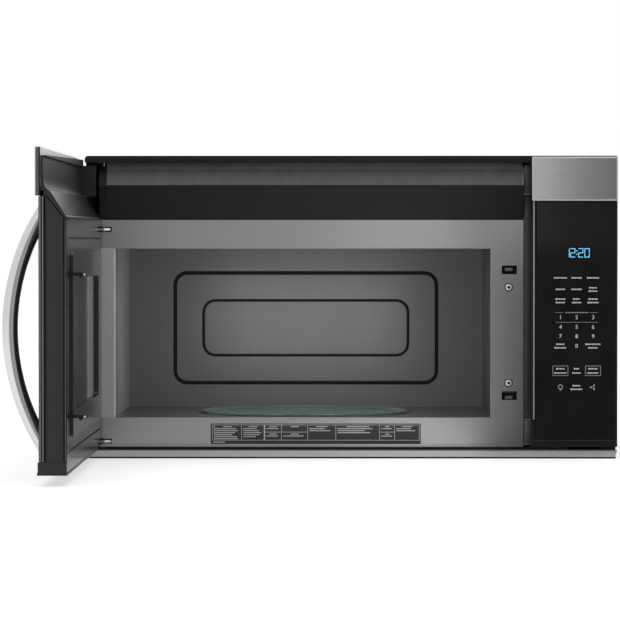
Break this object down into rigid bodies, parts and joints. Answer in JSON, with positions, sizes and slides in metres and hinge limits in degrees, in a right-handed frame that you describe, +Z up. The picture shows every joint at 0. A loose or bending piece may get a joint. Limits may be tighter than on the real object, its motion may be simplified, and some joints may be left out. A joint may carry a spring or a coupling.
{
  "type": "over the range microwave",
  "caption": "Wall-hung microwave oven and hood with a side-hinged door, bowed handle, control panel, turntable, blower and grease filters.",
  "frame": {"origin": "centre of the underside of the base plate, at mid width and mid depth of the cabinet without its door and panel", "axes": "+X to the right seen from the front, +Y to the wall behind, +Z up"},
  "size_m": [0.823, 1.02, 0.432],
  "materials": {
    "black_paint": "satin black paint on steel",
    "galvanised": "bare zinc-coated sheet",
    "grey_enamel": "satin warm grey paint with a fine metallic grain",
    "cavity_enamel": "semi-gloss dark grey enamel with a fine speckle",
    "brushed_steel": "horizontally brushed stainless steel",
    "black_plastic": "satin black moulded plastic",
    "black_glass": "glossy black glass",
    "dark_glass": "dark tinted window",
    "tray_glass": "clear glass with a green tint",
    "aluminium": "bright aluminium",
    "pale_nylon": "pale engineering plastic",
    "circuit_board": "green laminate with black components",
    "laminated_steel": "varnished steel laminations",
    "mica": "pale mica sheet",
    "lamp_lens": "frosted white lens",
    "carbon": "black granular carbon in a frame",
    "zinc_plate": "bright zinc-plated steel"
  },
  "bodies": {
    "cabinet": {"top_panel": "black_paint", "left_side_panel": "black_paint", "right_side_panel": "black_paint", "back_plate": "galvanised", "base_plate": "grey_enamel", "component_shelf": "galvanised", "face_frame": "grey_enamel", "cavity_floor": "cavity_enamel", "cavity_ceiling": "cavity_enamel", "cavity_left_wall": "cavity_enamel", "cavity_right_wall": "cavity_enamel", "cavity_back_wall": "cavity_enamel", "vent_grille": "black_plastic", "top_rail": "black_plastic", "charcoal_filter": "carbon", "control_panel_frame": "black_plastic", "control_top_band": "brushed_steel", "control_glass": "black_glass", "control_board": "circuit_board", "latch_board": "black_plastic", "interlock_switch_upper": "black_plastic", "interlock_switch_lower": "black_plastic", "hinge_plate_upper": "zinc_plate", "hinge_plate_lower": "zinc_plate", "turntable_motor": "galvanised", "waveguide": "galvanised", "waveguide_cover": "mica", "magnetron": "aluminium", "transformer": "laminated_steel", "capacitor": "aluminium", "fan_motor": "laminated_steel", "noise_filter_board": "circuit_board", "cord_gland": "black_plastic", "cavity_lamp": "galvanised", "blower_motor": "laminated_steel", "blower_housing_left": "galvanised", "blower_housing_right": "galvanised", "surface_lamp": "galvanised"},
    "door": {"door_chassis": "black_paint", "door_inner_frame": "black_plastic", "door_window": "dark_glass", "door_outer_glass": "black_glass", "door_top_band": "brushed_steel", "door_deflector": "black_plastic", "door_bottom_trim": "black_plastic", "door_handle": "brushed_steel", "latch_spring": "zinc_plate"},
    "latch": {"latch_bar": "black_plastic"},
    "turntable": {"drive_coupling": "pale_nylon", "glass_tray": "tray_glass"},
    "roller_ring": {"roller_ring": "pale_nylon"},
    "roller_1": {"roller_1": "pale_nylon"},
    "roller_2": {"roller_2": "pale_nylon"},
    "roller_3": {"roller_3": "pale_nylon"},
    "cooling_fan": {"cooling_fan": "pale_nylon"},
    "blower_rotor": {"blower_wheel_left": "black_plastic", "blower_wheel_right": "black_plastic"},
    "grease_filter_left": {"grease_filter_left": "aluminium"},
    "grease_filter_right": {"grease_filter_right": "aluminium"},
    "lamp_cover": {"lamp_cover": "lamp_lens"}
  },
  "joints": [
    {"name": "door_hinge", "type": "hinge", "parent": "cabinet", "child": "door", "pos_m": [-0.373, -0.2045, 0.2], "axis": [0, 0, 1], "range_deg": [-20, 90]},
    {"name": "latch_lift", "type": "slide", "parent": "door", "child": "latch", "axis": [0, 0, 1], "range_m": [0, 0.004], "stiffness_N_per_m": 300, "springref_m": -0.002, "deforming": ["latch_spring"]},
    {"name": "turntable_turn", "type": "hinge", "parent": "cabinet", "child": "turntable", "pos_m": [-0.0687, -0.01, 0.05], "axis": [0, 0, 1], "continuous": true},
    {"name": "roller_ring_turn", "type": "hinge", "parent": "cabinet", "child": "roller_ring", "pos_m": [-0.0687, -0.01, 0.0456], "axis": [0, 0, 1], "continuous": true},
    {"name": "roller_1_spin", "type": "hinge", "parent": "roller_ring", "child": "roller_1", "pos_m": [-0.0687, 0.096, 0.0456], "axis": [0, 1, 0], "continuous": true},
    {"name": "roller_2_spin", "type": "hinge", "parent": "roller_ring", "child": "roller_2", "pos_m": [-0.1605, -0.063, 0.0456], "axis": [-0.866, -0.5, 0], "continuous": true},
    {"name": "roller_3_spin", "type": "hinge", "parent": "roller_ring", "child": "roller_3", "pos_m": [0.0231, -0.063, 0.0456], "axis": [0.866, -0.5, 0], "continuous": true},
    {"name": "cooling_fan_spin", "type": "hinge", "parent": "cabinet", "child": "cooling_fan", "pos_m": [0.2828, 0.112, 0.192], "axis": [0, 1, 0], "continuous": true},
    {"name": "blower_spin", "type": "hinge", "parent": "cabinet", "child": "blower_rotor", "pos_m": [0, 0.112, 0.363], "axis": [1, 0, 0], "continuous": true},
    {"name": "grease_filter_left_drop", "type": "slide", "parent": "cabinet", "child": "grease_filter_left", "axis": [0, 0, -1], "range_m": [0, 0.06]},
    {"name": "grease_filter_right_drop", "type": "slide", "parent": "cabinet", "child": "grease_filter_right", "axis": [0, 0, -1], "range_m": [0, 0.06]},
    {"name": "lamp_cover_hinge", "type": "hinge", "parent": "cabinet", "child": "lamp_cover", "pos_m": [0, -0.099, 0.0003], "axis": [1, 0, 0], "range_deg": [0, 80]}
  ],
  "couplings": [
    {"joint": "roller_ring_turn", "follows": "turntable_turn", "ratio": 0.5},
    {"joint": "roller_1_spin", "follows": "turntable_turn", "ratio": -8.8333},
    {"joint": "roller_2_spin", "follows": "turntable_turn", "ratio": -8.8333},
    {"joint": "roller_3_spin", "follows": "turntable_turn", "ratio": -8.8333}
  ]
}
